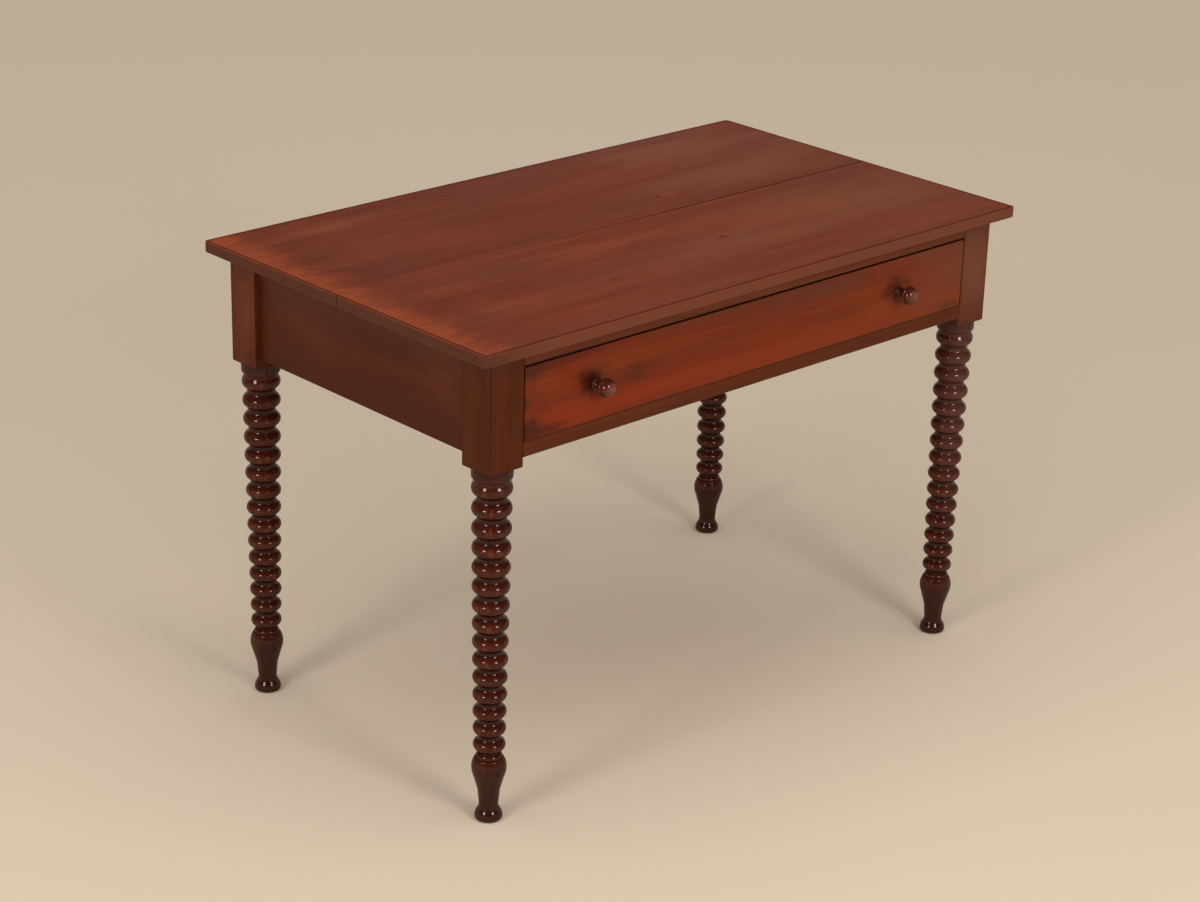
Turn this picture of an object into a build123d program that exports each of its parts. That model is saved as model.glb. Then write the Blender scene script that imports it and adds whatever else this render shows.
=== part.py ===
from build123d import *
import os
from math import atan, cos, sin

# A country work table with one long drawer and four spool-turned legs. Side and back aprons and the
# bottom drawer rail are tenoned into the square tops of the legs, the top rail is dovetailed down into
# the front legs, the two-board top is screwed on from below, and a dovetailed drawer runs on wooden
# runners. Millimetres, +Z up, the drawer faces -Y, left is -X. The origin is on the floor, under the
# middle of the table's overall box, which the two knobs make a little longer at the front.

# ---- Driving dimensions ----

table_height = 737
top_width = 1092            # along the drawer front
top_depth = 640
top_thickness = 17
top_corner_radius = 7       # the four corners in plan
top_arris = 1.5             # eased edge all round the top
side_overhang = 30          # top beyond the legs' outer faces at the ends
front_overhang = 23.4       # the same at the front and the back

post_size = 60              # square upper part of each leg
post_length = 170.5
post_arris = 1.5            # eased corners of each post that stand clear of aprons and rails
post_end_arris = 1.4        # eased edges round each post's lower end

collar_length = 12          # straight round collar just below the post's shoulder
collar_round_height = 7.5   # from the collar's edge down to the neck below it
collar_inset = 0.3          # the collar is turned just inside the post's faces
collar_neck_radius = 26.3
bead_count = 15
top_bead_radius = 29.4
bottom_bead_radius = 23.6
bead_pitch_ratio = 0.85     # pitch of the lowest bead over the pitch of the highest
bead_depth = 7.6            # from a bead's crest down to the neck beside it
bead_cove_share = 0.42      # part of each half pitch that is hollow rather than round
first_bead_cut = 4          # the collar cuts the highest bead's upper half short by this much
vase_neck_height = 108      # lowest bead's lower neck, from the floor
vase_shoulder_height = 23   # from the vase's widest line up to that neck
vase_belly_radius = 25.7
vase_scores = ((6.6, 11), (3.7, 6.5))       # lines scored round the shoulder: out from the neck, down from it
vase_score_depth = 0.8
vase_score_width = 1.6
vase_cove_share = 0.78
ankle_height = 25
ankle_radius = 14.2
ankle_cove_share = 0.5
foot_ring_height = 5.5      # the ring's widest line; below it the foot is a quarter round
foot_ring_radius = 20.5

apron_height = 156
apron_thickness = 22
apron_recess = 9.3          # behind the posts' outer faces
rail_thickness = 22         # both drawer rails, flush with the front posts
frame_arris = 1             # eased lower edges of the aprons and edges of the rails

tenon_length = 22
tenon_thickness = 8
tenon_bottom_shoulder = 14
tenon_top_shoulder = 26
rail_tenon_thickness = 10
rail_tenon_inset = 15       # from the rail's front and back edges to its tenon
dovetail_length = 22        # top rail's dovetail into the top of the post
dovetail_root = 28
dovetail_tip = 38
joint_clearance = 0.1       # glue line round tenons, dovetails and tongues

runner_width = 50           # runners and kickers, from the apron inwards
runner_stub_length = 12     # tenon on the runner's front end
runner_stub_thickness = 8
runner_stub_width = 14
guide_height = 24
stop_length = 28
stop_width = 60
stop_height = 5
stop_spacing = 400
block_size = 22             # glue blocks under the top, along the back apron
block_length = 60
block_count = 3
block_spacing = 250

drawer_front_thickness = 20
drawer_side_thickness = 12
drawer_back_thickness = 12
drawer_bottom_thickness = 8
drawer_rear_space = 27      # between the closed drawer and the back apron
drawer_side_gap = 1.2       # between the drawer and each post
drawer_top_gap = 2.7        # above the closed drawer front
drawer_arris = 0.8          # eased edges of the drawer front's face
side_drop = 3               # drawer sides below the front's top edge
back_drop = 6               # drawer back below the sides' top edges
running_gap = 0.3           # between the drawer and what it slides on or stops against
front_lap = 5               # wood left in front of the half-blind dovetails
tail_count = 3
back_tail_count = 2
pin_width = 9               # narrow end of each dovetail pin
dovetail_slope = 1 / 7
groove_lift = 9             # drawer bottom's groove above the lower edge
groove_depth = 6
tongue_thickness = 5        # edge of the drawer bottom in its groove
tongue_length = 8
feather_width = 28          # bevel from the tongue to the panel's full thickness

knob_inset_left = 131       # from the drawer front's left end to the left knob's centre
knob_inset_right = 149
knob_projection = 35
knob_head_radius = 14.7
knob_rim_start = 19         # distances out from the drawer front's face
knob_rim_end = 22.5
knob_groove_radius = 7.4    # the two half-round rings at the base stand up from this
knob_base_width = 4
knob_ring_width = 3
knob_neck_radius = 6.4
knob_neck_distance = 11
knob_rim_round = 1          # rounding of the thin rim round the head
knob_dome_edge = 10.5       # radius where the rounded shoulder of the head meets its dome
knob_dome_rise = 3.2        # from that edge to the middle of the dome
knob_tenon_radius = 6

screw_radius = 2.1
screw_length = 32
screw_head_radius = 4
screw_head_height = 2.3
screw_point_length = 5
screw_slot_width = 1
screw_slot_depth = 1
kicker_screw_rows = (-200, -70, 70, 200)    # from the middle of the top, front to back
rail_screw_spacing = 250
rail_screw_count = 3
fastener_clearance = 0.05   # round screws and nails

nail_width = 2.6
nail_head_width = 5
nail_head_thickness = 1.4
nail_punch = 0.6            # heads set below the surface
runner_nail_length = 36
guide_nail_length = 42
bottom_nail_length = 26
runner_nail_rows = (-150, 0, 150)
guide_nail_rows = (-190, -75, 75, 190)
bottom_nail_count = 4
bottom_nail_spacing = 250

# ---- Places that follow from them ----

knob_reach = knob_projection - front_overhang    # knobs beyond the top's front edge
mid_y = max(knob_reach, 0) / 2                   # middle of the top
top_underside = table_height - top_thickness
front_face_y = mid_y - top_depth / 2 + front_overhang
back_face_y = mid_y + top_depth / 2 - front_overhang
front_inner_y = front_face_y + post_size
back_inner_y = back_face_y - post_size
outer_x = top_width / 2 - side_overhang
inner_x = outer_x - post_size
leg_x = outer_x - post_size / 2
post_bottom = top_underside - post_length

apron_bottom = top_underside - apron_height
side_apron_outer_x = outer_x - apron_recess
side_apron_inner_x = side_apron_outer_x - apron_thickness
back_apron_outer_y = back_face_y - apron_recess
back_apron_inner_y = back_apron_outer_y - apron_thickness
tenon_set = (apron_thickness - tenon_thickness) / 2
opening_bottom = apron_bottom + rail_thickness
opening_top = top_underside - rail_thickness

drawer_half = inner_x - drawer_side_gap
drawer_inner_half = drawer_half - drawer_side_thickness
drawer_low = opening_bottom + running_gap
drawer_front_top = opening_top - drawer_top_gap
drawer_front_back_y = front_face_y + drawer_front_thickness
drawer_end_y = back_apron_inner_y - drawer_rear_space
drawer_back_y = drawer_end_y - drawer_back_thickness
drawer_side_top = drawer_front_top - side_drop
drawer_back_top = drawer_side_top - back_drop
drawer_floor = drawer_low + groove_lift + tongue_thickness
knob_z = (drawer_low + drawer_front_top) / 2
knob_places = {"left": -drawer_half + knob_inset_left, "right": drawer_half - knob_inset_right}

sides = {"left": -1, "right": 1}
ends = {"front": -1, "back": 1}
low_end = (Align.CENTER, Align.CENTER, Align.MIN)


# ---- Shared shapes ----

def block(corner, opposite, mode=Mode.ADD):
    """A rectangular block between two opposite corners."""
    middle = tuple((a + b) / 2 for a, b in zip(corner, opposite))
    size = [abs(a - b) for a, b in zip(corner, opposite)]
    with Locations(middle):
        Box(*size, mode=mode)


def side_tenon(side, end, clearance=0, mode=Mode.ADD):
    """Tenon of a side apron, or its mortise in the post when it has a clearance."""
    shoulder_y = front_inner_y if end < 0 else back_inner_y
    near_x = side_apron_outer_x - tenon_set + clearance
    far_x = side_apron_inner_x + tenon_set - clearance
    low_z = apron_bottom + tenon_bottom_shoulder - clearance
    high_z = top_underside - tenon_top_shoulder + clearance
    tip_y = shoulder_y + end * (tenon_length + clearance)
    block((side * near_x, shoulder_y, low_z), (side * far_x, tip_y, high_z), mode)


def back_tenon(side, clearance=0, mode=Mode.ADD):
    """Tenon of the back apron, or its mortise."""
    near_y = back_apron_outer_y - tenon_set + clearance
    far_y = back_apron_inner_y + tenon_set - clearance
    low_z = apron_bottom + tenon_bottom_shoulder - clearance
    high_z = top_underside - tenon_top_shoulder + clearance
    tip_x = inner_x + tenon_length + clearance
    block((side * inner_x, near_y, low_z), (side * tip_x, far_y, high_z), mode)


def rail_tenon(side, clearance=0, mode=Mode.ADD):
    """Flat tenon of the bottom rail, or its mortise."""
    middle_z = apron_bottom + rail_thickness / 2
    half = rail_tenon_thickness / 2 + clearance
    near_y = front_face_y + rail_tenon_inset - clearance
    far_y = front_inner_y - rail_tenon_inset + clearance
    tip_x = inner_x + tenon_length + clearance
    block((side * inner_x, near_y, middle_z - half), (side * tip_x, far_y, middle_z + half), mode)


def rail_dovetail(side, clearance=0):
    """Plan of the top rail's dovetail, or of its socket."""
    middle_y = front_face_y + post_size / 2
    root = dovetail_root / 2 + clearance
    tip = dovetail_tip / 2 + clearance
    root_x = side * inner_x
    tip_x = side * (inner_x + dovetail_length + clearance)
    return [
        (root_x, middle_y - root),
        (tip_x, middle_y - tip),
        (tip_x, middle_y + tip),
        (root_x, middle_y + root),
    ]


def runner_stub(side, clearance=0, mode=Mode.ADD):
    """Stub tenon on a runner's front end, or its mortise in the back of the bottom rail."""
    middle_x = (inner_x + side_apron_inner_x - runner_width) / 2
    middle_z = apron_bottom + rail_thickness / 2
    half_width = runner_stub_width / 2 + clearance
    half_height = runner_stub_thickness / 2 + clearance
    tip_y = front_inner_y - runner_stub_length - clearance
    low = (side * (middle_x - half_width), front_inner_y, middle_z - half_height)
    high = (side * (middle_x + half_width), tip_y, middle_z + half_height)
    block(low, high, mode)


def notched_plan(side):
    """Plan of a runner or kicker: along the apron, notched round the back post."""
    edge_x = side_apron_inner_x - runner_width
    plan = [
        (side_apron_inner_x, front_inner_y),
        (side_apron_inner_x, back_inner_y),
        (inner_x, back_inner_y),
        (inner_x, back_apron_inner_y),
        (edge_x, back_apron_inner_y),
        (edge_x, front_inner_y),
    ]
    return [(side * x, y) for x, y in plan]


def tail_outlines(base_y, tip_y, low_z, high_z, count, clearance=0):
    """Dovetail tails in side view, evenly spaced from low_z to high_z."""
    pitch = (high_z - low_z) / count
    tip_half = (pitch - pin_width) / 2 + clearance
    root_half = tip_half - abs(tip_y - base_y) * dovetail_slope
    outlines = []
    for i in range(count):
        z = low_z + (i + 0.5) * pitch
        root_low, root_high = (base_y, z - root_half), (base_y, z + root_half)
        outlines.append([root_low, (tip_y, z - tip_half), (tip_y, z + tip_half), root_high])
    return outlines


def nails(planes, length, clearance=0, mode=Mode.ADD):
    """Cut nails driven along each plane's normal, or the holes that they fill."""
    head_start = nail_punch if mode == Mode.ADD else 0
    width = nail_width + 2 * clearance
    head_width = nail_head_width + 2 * clearance
    with Locations(*[plane.offset(nail_punch) for plane in planes]):
        Box(width, width, length + clearance, align=low_end, mode=mode)
    with Locations(*[plane.offset(head_start) for plane in planes]):
        head_height = nail_punch - head_start + nail_head_thickness + clearance
        Box(head_width, head_width, head_height, align=low_end, mode=mode)


def screws(planes, clearance=0, mode=Mode.ADD):
    """Flat-headed wood screws driven along each plane's normal, or their holes."""
    radius = screw_radius + clearance
    straight = screw_length - screw_point_length
    with Locations(*planes):
        Cone(screw_head_radius + clearance, radius, screw_head_height, align=low_end, mode=mode)
        Cylinder(radius, straight, align=low_end, mode=mode)
    with Locations(*[plane.offset(straight) for plane in planes]):
        Cone(radius, screw_radius / 4 + clearance, screw_point_length + clearance, align=low_end, mode=mode)


def half_bead(crest, neck, cove_share):
    """A round and a hollow that meet smoothly, between a crest and a neck beside it."""
    height = abs(crest[1] - neck[1])
    turn = 2 * atan((crest[0] - neck[0]) / height)
    round_height = (1 - cove_share) * height
    round_radius = round_height / sin(turn)
    meet_r = crest[0] - round_radius * (1 - cos(turn))
    direction = 1 if neck[1] > crest[1] else -1
    meet = (meet_r, crest[1] + direction * round_height)
    TangentArc(crest, meet, tangent=(0, direction))
    TangentArc(neck, meet, tangent=(0, -direction))


# ---- Fastener places ----

kicker_screw_x = side_apron_inner_x - runner_width / 2
screw_places = [(side * kicker_screw_x, mid_y + row) for side in sides.values() for row in kicker_screw_rows]
for i in range(rail_screw_count):
    rail_screw_x = (i - (rail_screw_count - 1) / 2) * rail_screw_spacing
    screw_places.append((rail_screw_x, front_face_y + post_size / 2))
screw_planes = [Plane(origin=(x, y, opening_top), z_dir=(0, 0, 1)) for x, y in screw_places]

guide_inner_x = drawer_half + running_gap
guide_middle_x = (guide_inner_x + side_apron_inner_x) / 2
runner_nail_planes = {}
guide_nail_planes = {}
for name, side in sides.items():
    runner_nail_planes[name] = [
        Plane(origin=(side * guide_middle_x, mid_y + row, apron_bottom), z_dir=(0, 0, 1))
        for row in runner_nail_rows
    ]
    guide_nail_z = opening_bottom + guide_height / 2
    guide_nail_planes[name] = [
        Plane(origin=(side * guide_inner_x, mid_y + row, guide_nail_z), z_dir=(side, 0, 0))
        for row in guide_nail_rows
    ]
bottom_nail_planes = []
for i in range(bottom_nail_count):
    bottom_nail_x = (i - (bottom_nail_count - 1) / 2) * bottom_nail_spacing
    origin = (bottom_nail_x, drawer_end_y - drawer_back_thickness / 2, drawer_floor - drawer_bottom_thickness)
    bottom_nail_planes.append(Plane(origin=origin, z_dir=(0, 0, 1)))


# ---- Legs ----

bead_top = post_bottom - collar_length - collar_round_height + first_bead_cut
top_pitch = 2 * (bead_top - vase_neck_height) / (bead_count * (1 + bead_pitch_ratio))
bead_pitches = [
    top_pitch * (1 - (1 - bead_pitch_ratio) * i / (bead_count - 1)) for i in range(bead_count)
]
bead_radii = [
    top_bead_radius - (top_bead_radius - bottom_bead_radius) * i / (bead_count - 1) for i in range(bead_count)
]


def turned_outline():
    """Right half of the turning, from the floor's centre round to the shoulder under the post."""
    base = (foot_ring_radius - foot_ring_height, 0)
    ring = (foot_ring_radius, foot_ring_height)
    ankle = (ankle_radius, ankle_height)
    belly = (vase_belly_radius, vase_neck_height - vase_shoulder_height)
    neck_radius = bead_radii[-1] - bead_depth
    neck_z = vase_neck_height
    Line((0, 0), base)
    TangentArc(ring, base, tangent=(0, -1))
    half_bead(ring, ankle, ankle_cove_share)
    half_bead(belly, ankle, vase_cove_share)
    below = belly
    for out, down in vase_scores:
        lean = vase_score_width / 2 * out / down
        score_low = (neck_radius + out + lean, neck_z - down - vase_score_width / 2)
        score_deep = (neck_radius + out - vase_score_depth, neck_z - down)
        score_high = (neck_radius + out - lean, neck_z - down + vase_score_width / 2)
        TangentArc(below, score_low, tangent=(0, 1))
        Polyline(score_low, score_deep, score_high)
        below = score_high
    TangentArc(below, (neck_radius, neck_z), tangent=(0, 1))
    for i in reversed(range(bead_count)):
        crest = (bead_radii[i], neck_z + bead_pitches[i] / 2)
        half_bead(crest, (neck_radius, neck_z), bead_cove_share)
        neck_z += bead_pitches[i]
        if i > 0:
            neck_radius = (bead_radii[i] + bead_radii[i - 1]) / 2 - bead_depth
        else:
            neck_z -= first_bead_cut
            neck_radius = collar_neck_radius
        half_bead(crest, (neck_radius, neck_z), bead_cove_share)
    collar_radius = post_size / 2 - collar_inset
    collar_edge = (collar_radius, neck_z + collar_round_height)
    half_bead(collar_edge, (neck_radius, neck_z), bead_cove_share)
    Polyline(collar_edge, (collar_radius, post_bottom), (0, post_bottom), (0, 0))


def make_leg(label, name, end):
    """One leg: a square post, eased where its corners stand clear, the turning below and its mortises."""
    side = sides[name]
    axis_x = side * leg_x
    axis_y = front_face_y + post_size / 2 if end < 0 else back_face_y - post_size / 2
    half = post_size / 2
    clear_corners = 2 if end < 0 else 3
    with BuildPart() as leg:
        block((axis_x - half, axis_y - half, post_bottom), (axis_x + half, axis_y + half, top_underside))
        corners = leg.edges().filter_by(Axis.Z)
        corners = corners.sort_by(lambda edge: 2 * side * edge.center().X + end * edge.center().Y)
        fillet(corners[-clear_corners:], radius=post_arris)
        fillet(leg.edges().group_by(Axis.Z)[0], radius=post_end_arris)
        with BuildSketch(Plane(origin=(axis_x, axis_y, 0), x_dir=(1, 0, 0), z_dir=(0, -1, 0))):
            with BuildLine():
                turned_outline()
            make_face()
        revolve(axis=Axis((axis_x, axis_y, 0), (0, 0, 1)))
        side_tenon(side, end, joint_clearance, Mode.SUBTRACT)
        if end > 0:
            back_tenon(side, joint_clearance, Mode.SUBTRACT)
        else:
            rail_tenon(side, joint_clearance, Mode.SUBTRACT)
            with BuildSketch(Plane.XY.offset(opening_top)):
                Polygon(*rail_dovetail(side, joint_clearance))
            extrude(amount=rail_thickness, mode=Mode.SUBTRACT)
    leg.part.label = label
    return leg.part


# ---- Aprons and rails ----

def make_side_apron(label, name):
    """A side apron with a tenon at each end."""
    side = sides[name]
    with BuildPart() as apron:
        low = (side * side_apron_inner_x, front_inner_y, apron_bottom)
        block(low, (side * side_apron_outer_x, back_inner_y, top_underside))
        fillet(apron.edges().filter_by(Axis.Y).group_by(Axis.Z)[0], radius=frame_arris)
        for end in ends.values():
            side_tenon(side, end)
        nails(guide_nail_planes[name], guide_nail_length, fastener_clearance, Mode.SUBTRACT)
    apron.part.label = label
    return apron.part


def make_runner(label, name):
    """A drawer runner: stub-tenoned into the bottom rail, notched round the back post."""
    side = sides[name]
    with BuildPart() as runner:
        with BuildSketch(Plane.XY.offset(apron_bottom)):
            Polygon(*notched_plan(side))
        extrude(amount=rail_thickness)
        runner_stub(side)
        nails(runner_nail_planes[name], runner_nail_length, fastener_clearance, Mode.SUBTRACT)
    runner.part.label = label
    return runner.part


def make_guide(label, name):
    """A strip on the runner that fills the space beside the drawer and keeps it straight."""
    side = sides[name]
    with BuildPart() as guide:
        low = (side * guide_inner_x, front_inner_y, opening_bottom)
        block(low, (side * side_apron_inner_x, back_inner_y, opening_bottom + guide_height))
        nails(runner_nail_planes[name], runner_nail_length, fastener_clearance, Mode.SUBTRACT)
        nails(guide_nail_planes[name], guide_nail_length, fastener_clearance, Mode.SUBTRACT)
    guide.part.label = label
    return guide.part


def make_kicker(label, name):
    """A kicker above the drawer side, which also takes the screws that hold the top."""
    side = sides[name]
    with BuildPart() as kicker:
        with BuildSketch(Plane.XY.offset(opening_top)):
            Polygon(*notched_plan(side))
        extrude(amount=rail_thickness)
        screws(screw_planes, fastener_clearance, Mode.SUBTRACT)
    kicker.part.label = label
    return kicker.part


with BuildPart() as back_apron:
    block((-inner_x, back_apron_inner_y, apron_bottom), (inner_x, back_apron_outer_y, top_underside))
    fillet(back_apron.edges().filter_by(Axis.X).group_by(Axis.Z)[0], radius=frame_arris)
    for side in sides.values():
        back_tenon(side)
back_apron.part.label = "back_apron"

with BuildPart() as front_bottom_rail:
    block((-inner_x, front_face_y, apron_bottom), (inner_x, front_inner_y, opening_bottom))
    fillet(front_bottom_rail.edges().filter_by(Axis.X).group_by(Axis.Y)[0], radius=frame_arris)
    for side in sides.values():
        rail_tenon(side)
        runner_stub(side, joint_clearance, Mode.SUBTRACT)
front_bottom_rail.part.label = "front_bottom_rail"

with BuildPart() as front_top_rail:
    block((-inner_x, front_face_y, opening_top), (inner_x, front_inner_y, top_underside))
    fillet(front_top_rail.edges().filter_by(Axis.X).group_by(Axis.Z)[0], radius=frame_arris)
    for side in sides.values():
        with BuildSketch(Plane.XY.offset(opening_top)):
            Polygon(*rail_dovetail(side))
        extrude(amount=rail_thickness)
    screws(screw_planes, fastener_clearance, Mode.SUBTRACT)
front_top_rail.part.label = "front_top_rail"

with BuildPart() as drawer_stops:
    for side in sides.values():
        middle_x = side * stop_spacing / 2
        stop_y = drawer_front_back_y + running_gap
        low = (middle_x - stop_width / 2, stop_y, opening_bottom)
        block(low, (middle_x + stop_width / 2, stop_y + stop_length, opening_bottom + stop_height))
drawer_stops.part.label = "drawer_stops"

with BuildPart() as top_glue_blocks:
    for i in range(block_count):
        middle_x = (i - (block_count - 1) / 2) * block_spacing
        low = (middle_x - block_length / 2, back_apron_inner_y - block_size, top_underside - block_size)
        block(low, (middle_x + block_length / 2, back_apron_inner_y, top_underside))
top_glue_blocks.part.label = "top_glue_blocks"


# ---- Top ----

def make_top_board(label, end):
    """One of the two boards of the top, with its outer corners and edges rounded."""
    with BuildPart() as board:
        with BuildSketch(Plane.XY.offset(top_underside)) as plan:
            with Locations((0, mid_y + end * top_depth / 4)):
                Rectangle(top_width, top_depth / 2)
            outer_corners = plan.vertices().sort_by(lambda vertex: end * vertex.Y)[-2:]
            fillet(outer_corners, radius=top_corner_radius)
        extrude(amount=top_thickness)
        rim = board.edges().filter_by(Axis.Z, reverse=True)
        rim = rim.filter_by(lambda edge: abs(edge.center().Y - mid_y) > top_arris)
        fillet(rim, radius=top_arris)
        screws(screw_planes, fastener_clearance, Mode.SUBTRACT)
    board.part.label = label
    return board.part


# ---- Drawer ----

with BuildPart() as drawer_front:
    block((-drawer_half, front_face_y, drawer_low), (drawer_half, drawer_front_back_y, drawer_front_top))
    fillet(drawer_front.faces().sort_by(Axis.Y)[0].edges(), radius=drawer_arris)
    tip_y = front_face_y + front_lap - joint_clearance
    socket_depth = drawer_side_thickness + joint_clearance
    for side in sides.values():
        with BuildSketch(Plane.YZ.offset(side * (drawer_half - socket_depth / 2))):
            for outline in tail_outlines(
                drawer_front_back_y, tip_y, drawer_low, drawer_side_top, tail_count, joint_clearance
            ):
                Polygon(*outline)
        extrude(amount=socket_depth / 2, both=True, mode=Mode.SUBTRACT)
    groove_half = drawer_inner_half + groove_depth
    groove_low_z = drawer_floor - tongue_thickness - joint_clearance
    groove_low = (-groove_half, drawer_front_back_y - groove_depth, groove_low_z)
    block(groove_low, (groove_half, drawer_front_back_y, drawer_floor + joint_clearance), Mode.SUBTRACT)
    with Locations(*[Plane(origin=(x, front_face_y, knob_z), z_dir=(0, 1, 0)) for x in knob_places.values()]):
        Cylinder(
            knob_tenon_radius + fastener_clearance, drawer_front_thickness, align=low_end, mode=Mode.SUBTRACT
        )
drawer_front.part.label = "drawer_front"


def make_drawer_side(label, name):
    """A drawer side with tails at both ends and the groove for the bottom."""
    side = sides[name]
    length = drawer_back_y - drawer_front_back_y
    height = drawer_side_top - drawer_low
    with BuildPart() as board:
        with BuildSketch(Plane.YZ.offset(side * (drawer_half - drawer_side_thickness / 2))):
            with Locations((drawer_front_back_y + length / 2, drawer_low + height / 2)):
                Rectangle(length, height)
            for outline in tail_outlines(
                drawer_front_back_y, front_face_y + front_lap, drawer_low, drawer_side_top, tail_count
            ):
                Polygon(*outline)
            for outline in tail_outlines(
                drawer_back_y, drawer_end_y, drawer_floor, drawer_back_top, back_tail_count
            ):
                Polygon(*outline)
            for low_z, high_z in ((drawer_low, drawer_floor), (drawer_back_top, drawer_side_top)):
                with Locations(((drawer_back_y + drawer_end_y) / 2, (low_z + high_z) / 2)):
                    Rectangle(drawer_back_thickness, high_z - low_z)
        extrude(amount=drawer_side_thickness / 2, both=True)
        groove_bottom = drawer_floor - tongue_thickness - joint_clearance
        low = (side * drawer_inner_half, front_face_y, groove_bottom)
        high = (side * (drawer_inner_half + groove_depth), drawer_end_y, drawer_floor + joint_clearance)
        block(low, high, Mode.SUBTRACT)
    board.part.label = label
    return board.part


with BuildPart() as drawer_back:
    block((-drawer_half, drawer_back_y, drawer_floor), (drawer_half, drawer_end_y, drawer_back_top))
    for side in sides.values():
        with BuildSketch(Plane.YZ.offset(side * (drawer_half - socket_depth / 2))):
            for outline in tail_outlines(
                drawer_back_y, drawer_end_y, drawer_floor, drawer_back_top, back_tail_count, joint_clearance
            ):
                Polygon(*outline)
        extrude(amount=socket_depth / 2, both=True, mode=Mode.SUBTRACT)
    nails(bottom_nail_planes, bottom_nail_length, fastener_clearance, Mode.SUBTRACT)
drawer_back.part.label = "drawer_back"

with BuildPart() as drawer_bottom:
    panel_half = drawer_inner_half + groove_depth - joint_clearance
    panel_front_y = drawer_front_back_y - groove_depth + joint_clearance
    tongue_low = drawer_floor - tongue_thickness
    block((-panel_half, panel_front_y, tongue_low), (panel_half, drawer_end_y, drawer_floor))
    for z, inset in (
        (tongue_low, tongue_length),
        (drawer_floor - drawer_bottom_thickness, tongue_length + feather_width),
    ):
        with BuildSketch(Plane.XY.offset(z)):
            length = drawer_end_y - panel_front_y - inset
            with Locations((0, drawer_end_y - length / 2)):
                Rectangle(2 * (panel_half - inset), length)
    loft()
    nails(bottom_nail_planes, bottom_nail_length, fastener_clearance, Mode.SUBTRACT)
drawer_bottom.part.label = "drawer_bottom"


def make_knob(label, name):
    """A turned knob: two rings at the base, a waist, a rimmed mushroom head and a round tenon."""
    x = knob_places[name]
    ring_end = knob_base_width + knob_ring_width
    dome_edge = (knob_dome_edge, knob_projection - knob_dome_rise)
    rim_radius = knob_head_radius - knob_rim_round
    with BuildPart() as knob:
        with BuildSketch(Plane(origin=(x, front_face_y, knob_z), x_dir=(0, 0, 1), z_dir=(1, 0, 0))):
            with BuildLine():
                tenon_end = fastener_clearance - drawer_front_thickness
                tenon_side = [(knob_tenon_radius, tenon_end), (knob_tenon_radius, 0)]
                Polyline((0, knob_projection), (0, tenon_end), *tenon_side, (knob_groove_radius, 0))
                for start, end in ((0, knob_base_width), (knob_base_width, ring_end)):
                    crest = (knob_groove_radius + (end - start) / 2, (start + end) / 2)
                    ThreePointArc((knob_groove_radius, start), crest, (knob_groove_radius, end))
                waist = (knob_neck_radius, knob_neck_distance)
                TangentArc(waist, (knob_groove_radius, ring_end), tangent=(0, -1))
                TangentArc(waist, (rim_radius, knob_rim_start), tangent=(0, 1))
                rim_crest = (knob_head_radius, (knob_rim_start + knob_rim_end) / 2)
                ThreePointArc((rim_radius, knob_rim_start), rim_crest, (rim_radius, knob_rim_end))
                TangentArc((rim_radius, knob_rim_end), dome_edge, tangent=(0, 1))
                TangentArc((0, knob_projection), dome_edge, tangent=(1, 0))
            make_face()
        revolve(axis=Axis((x, front_face_y, knob_z), (0, -1, 0)))
    knob.part.label = label
    return knob.part


# ---- Fasteners ----

with BuildPart() as top_screws:
    screws(screw_planes)
    with Locations(*screw_planes):
        slot_length = 2 * screw_head_radius
        Box(slot_length, screw_slot_width, screw_slot_depth, align=low_end, mode=Mode.SUBTRACT)
top_screws.part.label = "top_screws"

with BuildPart() as runner_nails:
    for planes in runner_nail_planes.values():
        nails(planes, runner_nail_length)
runner_nails.part.label = "runner_nails"

with BuildPart() as guide_nails:
    for planes in guide_nail_planes.values():
        nails(planes, guide_nail_length)
guide_nails.part.label = "guide_nails"

with BuildPart() as drawer_bottom_nails:
    nails(bottom_nail_planes, bottom_nail_length)
drawer_bottom_nails.part.label = "drawer_bottom_nails"


# ---- One STEP file per piece ----

pieces = [
    back_apron.part,
    front_bottom_rail.part,
    front_top_rail.part,
    drawer_stops.part,
    top_glue_blocks.part,
    drawer_front.part,
    drawer_back.part,
    drawer_bottom.part,
    top_screws.part,
    runner_nails.part,
    guide_nails.part,
    drawer_bottom_nails.part,
]
pieces.append(make_top_board("top_front_board", ends["front"]))
pieces.append(make_top_board("top_rear_board", ends["back"]))
for name in sides:
    pieces.append(make_leg("leg_front_" + name, name, ends["front"]))
    pieces.append(make_leg("leg_back_" + name, name, ends["back"]))
    pieces.append(make_side_apron("side_apron_" + name, name))
    pieces.append(make_runner("drawer_runner_" + name, name))
    pieces.append(make_guide("drawer_guide_" + name, name))
    pieces.append(make_kicker("drawer_kicker_" + name, name))
    pieces.append(make_drawer_side("drawer_side_" + name, name))
    pieces.append(make_knob("drawer_knob_" + name, name))

os.makedirs("parts", exist_ok=True)
for piece in pieces:
    export_step(piece, "parts/" + piece.label + ".step")
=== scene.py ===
from math import atan, atan2, ceil, cos, pi, radians, sin

import bmesh
import bpy
from mathutils import Matrix, Vector


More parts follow.
